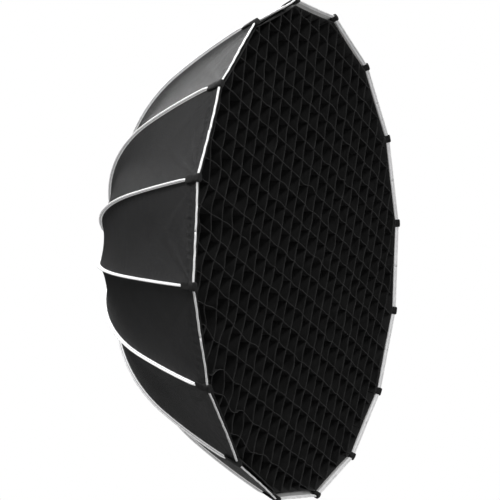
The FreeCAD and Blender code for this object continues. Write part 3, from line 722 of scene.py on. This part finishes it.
def warp(x, z):
    """Slow drift of the lattice over the mouth, and its slack edge at the lower left, metres."""
    dx = 0.0030 * np.sin(4.1 * z + 1.0) + 0.0030 * np.sin(7.3 * x - 2.2 * z) - 0.20 * z * z
    dz = 0.0035 * np.sin(3.7 * x + 0.6) + 0.0030 * np.sin(6.1 * z + 2.9 * x + 2.0)
    left = smooth_step((-x - 0.30) / 0.28)
    dx = dx + left * (0.010 * np.sin(38 * z + 3 * x) + 0.005 * np.sin(61 * z + 1.0))
    dz = dz + left * 0.007 * np.sin(23 * x + 17 * z + 1.0)
    slack = smooth_step((-0.77 * x - 0.64 * z - 0.40) / 0.17)
    dx = dx + slack * (0.010 * np.sin(44 * z - 12 * x) + 0.006 * np.sin(83 * z + 20 * x))
    dz = dz + slack * (0.010 * np.sin(37 * x - 21 * z + 2.0) + 0.006 * np.sin(71 * x + 15 * z) - 0.010)
    return dx, dz


SLAT_SECTION = (  # (depth behind the grid's front, half the cloth's thickness); the front is a hem
    (0.0, 0.0004), (0.0008, 0.0007), (0.0025, 0.0007), (0.0030, 0.0004),
    (0.014, 0.0004), (0.026, 0.0004), (0.037, 0.0004), (GRID_DEPTH, 0.0004),
)
SLAT_HEM_ROWS = 3
SLAT_POINTS = 6  # between two crossings
SLAT_REACH = int(GRID_FRONT_RADIUS / GRID_PITCH) + 1  # crossings each way from the middle
SLAT_BOW, SLAT_DIP, SLAT_SWING = 0.0020, 0.0012, 0.0016  # spread of each slat's random slack
SLAT_STEP = 0.0005


def grid_reach(x, z):
    """Radius of the grid's front edge in the direction of a point."""
    return polygon_reach(np.degrees(np.arctan2(x, z)), GRID_FRONT_RADIUS, RIM_SAG)


def by_cell(chance, spread, cells):
    """One random value for each cell of a slat, looked up at each of its points."""
    count = 2 * SLAT_REACH + 4
    return chance.normal(0, spread, count)[np.clip(cells, 0, count - 1)]


def run_on(x, z, a, b):
    """Where the line from point b through point a meets the band."""
    step = np.array([x[a] - x[b], z[a] - z[b]])
    step /= np.linalg.norm(step)
    point = np.array([x[a], z[a]])
    for _ in range(60):
        if np.hypot(*point) >= grid_reach(*point):
            break
        point = point + step * SLAT_STEP
    return point


def slat_line(chance, run, side, line):
    """One slat's front edge from band to band, each point's share of a lobe, and its dip."""
    t = np.arange(-(SLAT_REACH + 1) * SLAT_POINTS, (SLAT_REACH + 1) * SLAT_POINTS + 1) / SLAT_POINTS
    cells = (np.floor(t) + SLAT_REACH + 1).astype(int)
    bow, dip = by_cell(chance, SLAT_BOW, cells), by_cell(chance, SLAT_DIP, cells)
    lobe = np.sin(math.pi * (t - np.floor(t)))
    x = t * GRID_PITCH * run[0] + line * side[0]
    z = t * GRID_PITCH * run[1] + line * side[1]
    dx, dz = warp(x, z)
    x = x + dx + side[0] * bow * lobe
    z = z + dz + side[1] * bow * lobe
    inside = np.hypot(x, z) < grid_reach(x, z) - SLAT_STEP
    if inside.sum() < 4:
        return None
    first, last = np.flatnonzero(inside)[[0, -1]]
    x, z, lobe, dip = (values[first : last + 1] for values in (x, z, lobe, dip))
    near, far = run_on(x, z, 0, 1), run_on(x, z, -1, -2)
    x = np.concatenate([[near[0]], x, [far[0]]])
    z = np.concatenate([[near[1]], z, [far[1]]])
    return x, z, np.pad(lobe, 1), np.pad(dip, 1)


def slat_points(chance, x, z, lobe, dip):
    """Points of one slat: its two faces, each a grid from the front edge to the back."""
    tangent = np.stack([np.gradient(x), np.gradient(z)], axis=1)
    tangent /= np.linalg.norm(tangent, axis=1)[:, None]
    normal = np.stack([-tangent[:, 1], tangent[:, 0]], axis=1)
    sway = np.convolve(chance.normal(0, SLAT_SWING, len(x)), np.ones(5) / 5, "same")
    faces = ([], [])
    for depth, thick in SLAT_SECTION:
        deep = depth / GRID_DEPTH
        taper = 1 - deep * (1 - GRID_BACK_RADIUS / GRID_FRONT_RADIUS)
        pull = np.minimum(1.0, grid_reach(x, z) * taper / np.maximum(np.hypot(x, z), 1e-6))
        swing = sway * deep * 1.5
        px, pz = x * pull + normal[:, 0] * swing, z * pull + normal[:, 1] * swing
        forward = MOUTH - GRID_SET_BACK - depth - dip * lobe * (1 - deep)
        for face, sign in zip(faces, (1, -1)):
            offset = normal * sign * thick
            face.append(np.stack([px + offset[:, 0], -forward, pz + offset[:, 1]], axis=1))
    return np.concatenate(faces[0] + faces[1])


def slat_family(name, tilt, seed, cad_node):
    """Parallel cloth slats across the mouth, closed thin strips with a hem along the front edge."""
    chance = np.random.default_rng(seed)
    run = np.array([math.cos(math.radians(tilt)), math.sin(math.radians(tilt))])
    side = np.array([-run[1], run[0]])
    rows = len(SLAT_SECTION)
    points, faces, slots, count, length = [], [], [], 0, 0.0
    for place_in_row in range(-SLAT_REACH, SLAT_REACH + 1):
        edge = slat_line(chance, run, side, place_in_row * GRID_PITCH)
        if edge is None:
            continue
        points.append(slat_points(chance, *edge))
        columns = len(edge[0])
        one = grid_faces(rows, columns, count)
        two = grid_faces(rows, columns, count + rows * columns, flip=True)
        joins = edge_faces(rows, columns, rows * columns) + count
        faces += [one, two, joins]
        hem = SLAT_HEM_ROWS * (columns - 1)
        for part, hemmed in ((one, hem), (two, hem), (joins, columns - 1)):
            slots += [1] * hemmed + [0] * (len(part) - hemmed)
        count += len(points[-1])
        length += float(np.hypot(np.diff(edge[0]), np.diff(edge[1])).sum())
    item = make_object(name, np.concatenate(points), np.concatenate(faces), [GRID, HEM], slots)
    face_outward(item)
    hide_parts(cad_node)
    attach(item, "grid")


def make_grid_band():
    """The cloth band that the slats are sewn to, with a bound front edge."""
    per_side = 14
    degrees = np.linspace(0, 360, RIBS * per_side + 1)[:-1]
    profile = (  # (depth behind the grid's front, outward), mm
        (0.0, 0.3), (-0.6, 1.2), (0.4, 2.2), (5.5, 2.3), (6.0, 1.6), (24.0, 1.6), (46.0, 1.6), (46.4, 0.9),
        (46.0, 0.4), (24.0, 0.4), (6.0, 0.4),
    )
    slots = (0, 0, 0, 1, 1, 1, 1, 1, 1, 1, 1)
    rings = []
    for degree in degrees:
        ring = []
        turn = math.radians(degree)
        ripple = 0.0012 * math.sin(turn * 61) + 0.0009 * math.sin(turn * 97 + 1)
        for depth, outward in profile:
            deep = depth / 1000 / GRID_DEPTH
            ratio = 1 - deep * (1 - GRID_BACK_RADIUS / GRID_FRONT_RADIUS)
            reach = float(polygon_reach(degree, GRID_FRONT_RADIUS, RIM_SAG)) * ratio + outward / 1000
            reach += ripple * math.sin(math.pi * min(max(deep, 0), 1))
            ring.append(place(reach, MOUTH - GRID_SET_BACK - depth / 1000, degree))
        rings.append(ring)
    item = loft("grid_edge_band", rings, [HEM, GRID], slots, looped=True)
    face_outward(item)
    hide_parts("grid_band")
    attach(item, "grid")


# ---------------------------------------------------------------- diffusers

HEM_SHARE = 0.955  # a diffuser is flat beyond this share of its radius, inside its hem
DIFFUSER_BOW = 0.006  # how far its sides are bowed in
DIFFUSER_THICKNESS = 0.0008
TAPE_WIDTH, TAPE_HEIGHT = 0.016, 0.0018


def cloth_disc(name, radius, back, sag, seed):
    """A stretched sixteen-sided cloth, thin and closed, with faint tension lines from its corners."""
    chance = np.random.default_rng(seed)
    phases = chance.uniform(0, 2 * math.pi, 6)
    share = np.linspace(0.02, 1, 34)[:, None]
    degrees = np.linspace(0, 360, RIBS * 10 + 1)[None, :]
    reach = share * polygon_reach(degrees, radius, DIFFUSER_BOW)
    corner = np.cos(np.radians(degrees) * RIBS)
    ripple = 0.0022 * corner * share**3 * np.sin(share * 9 + phases[0])
    ripple = ripple + 0.0009 * np.sin(np.radians(degrees) * 48 + phases[1]) * share**6
    lift = sag * (1 - np.minimum(share / HEM_SHARE, 1.0) ** 2)
    lift = lift + ripple * smooth_step((HEM_SHARE - share) / 0.1)
    forward = MOUTH - back - lift
    rows = place(reach, forward, degrees)
    up = np.gradient(rows, axis=0)
    sideways = np.gradient(rows, axis=1)
    normals = np.cross(up, sideways)
    normals /= np.linalg.norm(normals, axis=-1, keepdims=True)
    return shell(name, rows, normals, DIFFUSER_THICKNESS, [DIFFUSER])


def hem_ring(name, radius, back):
    """A stitched tape round a cloth disc, with two sewn rows."""
    degrees = np.linspace(0, 360, RIBS * 16 + 1)[:-1]
    section = (  # share of the width from outside in, height
        (0.0, 0.0), (0.02, 0.9), (0.10, 1.0), (0.13, 0.55), (0.16, 1.0), (0.84, 1.0), (0.87, 0.55),
        (0.90, 1.0), (0.98, 0.9), (1.0, 0.0), (1.0, -0.5), (0.5, -0.6), (0.0, -0.5),
    )
    rings = []
    for degree in degrees:
        outer = float(polygon_reach(degree, radius, DIFFUSER_BOW)) + 0.001
        ring = [
            place(outer - inward * TAPE_WIDTH, MOUTH - back + 0.0002 + height * TAPE_HEIGHT, degree)
            for inward, height in section
        ]
        rings.append(ring)
    item = loft(name, rings, [TAPE], looped=True)
    return face_outward(item)


def make_front_diffuser():
    radius, back = 0.5555, 0.0535
    item = cloth_disc("front_diffuser_cloth", radius, back, 0.005, 3)
    tape = hem_ring("front_diffuser_tape", radius, back)
    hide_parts("front_diffuser")
    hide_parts("diffuser_tape")
    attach(item, "front_diffuser")
    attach(tape, "front_diffuser")


def make_inner_diffuser():
    radius, back = 0.391, 0.2125
    item = cloth_disc("inner_diffuser_cloth", radius, back, 0.010, 5)
    hem = hem_ring("inner_diffuser_binding", radius, back)
    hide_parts("inner_diffuser")
    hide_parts("inner_diffuser_hem")
    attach(item, "inner_diffuser")
    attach(hem, "inner_diffuser")
    for k in range(RIBS):
        make_strap(k, radius, back)


def make_strap(k, inner, back):
    """An elastic strap from the inner diffuser's corner to a loop beside the rib."""
    outer, width, half_thick = 0.4615, 14.0, 0.6  # metres, then mm
    rings = []
    for share in np.linspace(0, 1, 14):
        reach = inner - 0.012 + share * (outer - inner + 0.012)
        narrow = 1 - 0.25 * math.sin(math.pi * share)
        drop = 0.0015 * math.sin(math.pi * share)
        ring = []
        for side, lift in oval(width * narrow, -half_thick, half_thick, 5.0, 14):
            point = place(reach, MOUTH - back + 0.0022 + drop + lift / 1000, k * STEP)
            ring.append(point + np.array(across(k)) * side / 1000)
        rings.append(ring)
    item = loft("inner_strap_%02d" % (k + 1), rings, [ELASTIC])
    face_outward(item)
    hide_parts("inner_diffuser_straps")
    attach(item, "inner_diffuser")


# ---------------------------------------------------------------- floor, light and camera

CAMERA_PLACE = (-4.38412, -1.96364 - MOUTH, 0.57797)
CAMERA_AZIMUTH, CAMERA_ELEVATION, CAMERA_ROLL = -64.23, 6.75, -2.61
CAMERA_LENS = 143.73
FLOOR_LEVEL, FLOOR_HALF = -1.70, 0.9


def make_camera():
    azimuth, elevation = math.radians(CAMERA_AZIMUTH), math.radians(CAMERA_ELEVATION)
    level_part = math.cos(elevation)
    back = Vector((math.sin(azimuth) * level_part, -math.cos(azimuth) * level_part, math.sin(elevation)))
    level = Vector((0, 0, 1)).cross(back).normalized()
    upright = back.cross(level)
    roll = math.radians(CAMERA_ROLL)
    right = level * math.cos(roll) + upright * math.sin(roll)
    up = back.cross(right)
    data = bpy.data.cameras.new("camera")
    data.lens = CAMERA_LENS
    data.sensor_width = 36.0
    item = bpy.data.objects.new("camera", data)
    basis = Matrix((right, up, back)).transposed().to_4x4()
    item.matrix_world = Matrix.Translation(CAMERA_PLACE) @ basis
    bpy.context.scene.collection.objects.link(item)
    bpy.context.scene.camera = item


def area_light(name, place_at, target, size, power):
    data = bpy.data.lights.new(name, "AREA")
    data.shape = "RECTANGLE"
    data.size, data.size_y = size
    data.energy = power
    item = bpy.data.objects.new(name, data)
    item.location = place_at
    item.rotation_euler = (Vector(target) - Vector(place_at)).to_track_quat("-Z", "Y").to_euler()
    bpy.context.scene.collection.objects.link(item)


def make_light():
    world = bpy.data.worlds.new("studio")
    world.use_nodes = True
    bpy.context.scene.world = world
    tree = world.node_tree
    tree.nodes.clear()
    seen = tree.nodes.new("ShaderNodeBackground")
    seen.inputs["Color"].default_value = (1, 1, 1, 1)
    seen.inputs["Strength"].default_value = 1.0
    lit = tree.nodes.new("ShaderNodeBackground")
    lit.inputs["Strength"].default_value = 1.0
    direction = tree.nodes.new("ShaderNodeTexCoord")
    facing = tree.nodes.new("ShaderNodeVectorMath")
    facing.operation = "DOT_PRODUCT"
    facing.inputs[1].default_value = Vector((-0.5, -0.5, 0.7)).normalized()
    shade = tree.nodes.new("ShaderNodeValToRGB")
    shade.color_ramp.elements[0].position = 0.30
    shade.color_ramp.elements[0].color = (0.03, 0.03, 0.03, 1)
    shade.color_ramp.elements[1].position = 0.62
    shade.color_ramp.elements[1].color = (0.48, 0.48, 0.48, 1)
    half = tree.nodes.new("ShaderNodeMapRange")
    half.inputs["From Min"].default_value = -1.0
    tree.links.new(direction.outputs["Generated"], facing.inputs[0])
    tree.links.new(facing.outputs["Value"], half.inputs["Value"])
    tree.links.new(half.outputs["Result"], shade.inputs["Fac"])
    tree.links.new(shade.outputs["Color"], lit.inputs["Color"])
    path = tree.nodes.new("ShaderNodeLightPath")
    mix = tree.nodes.new("ShaderNodeMixShader")
    out = tree.nodes.new("ShaderNodeOutputWorld")
    tree.links.new(path.outputs["Is Camera Ray"], mix.inputs["Fac"])
    tree.links.new(lit.outputs["Background"], mix.inputs[1])
    tree.links.new(seen.outputs["Background"], mix.inputs[2])
    tree.links.new(mix.outputs["Shader"], out.inputs["Surface"])
    middle = (0, -0.25, 0)
    area_light("back_right", (3.6, 1.8, 2.6), middle, (3.0, 2.4), 170)
    area_light("left_above", (-1.6, 1.0, 4.2), middle, (1.8, 1.8), 260)
    area_light("front", (-1.2, -3.0, 3.4), middle, (0.9, 0.9), 55)
    area_light("ahead", (0.8, -4.6, 0.3), middle, (1.6, 1.6), 45)


def make_floor():
    material, shader = new_material("floor_pale", (0.1, 0.1, 0.1), 0.9, 0.0)
    mix_colours(material, shader, noise(material, 0.8), (0.10, 0.10, 0.10), (0.11, 0.11, 0.11))
    shader.inputs["Emission Color"].default_value = (1, 1, 1, 1)
    shader.inputs["Emission Strength"].default_value = 0.93
    corners = [(x * FLOOR_HALF, y * FLOOR_HALF, FLOOR_LEVEL) for x, y in ((-1, -1), (1, -1), (1, 1), (-1, 1))]
    item = make_object("floor", corners, [(0, 1, 2, 3)], [material], smooth=False)


# ---------------------------------------------------------------- everything

bpy.context.scene.view_settings.view_transform = "Standard"
make_camera()
make_light()
make_floor()
finish_cad_nodes()
for rib in range(RIBS):
    make_panels(rib)
    make_skirt(rib)
    make_piping(rib)
    make_binding(rib)
    make_pocket(rib)
make_grid_band()
slat_family("grid_slats_falling", GRID_TILT, 11, "grid_slats_a")
slat_family("grid_slats_rising", GRID_CROSS_TILT, 12, "grid_slats_b")
make_front_diffuser()
make_inner_diffuser()
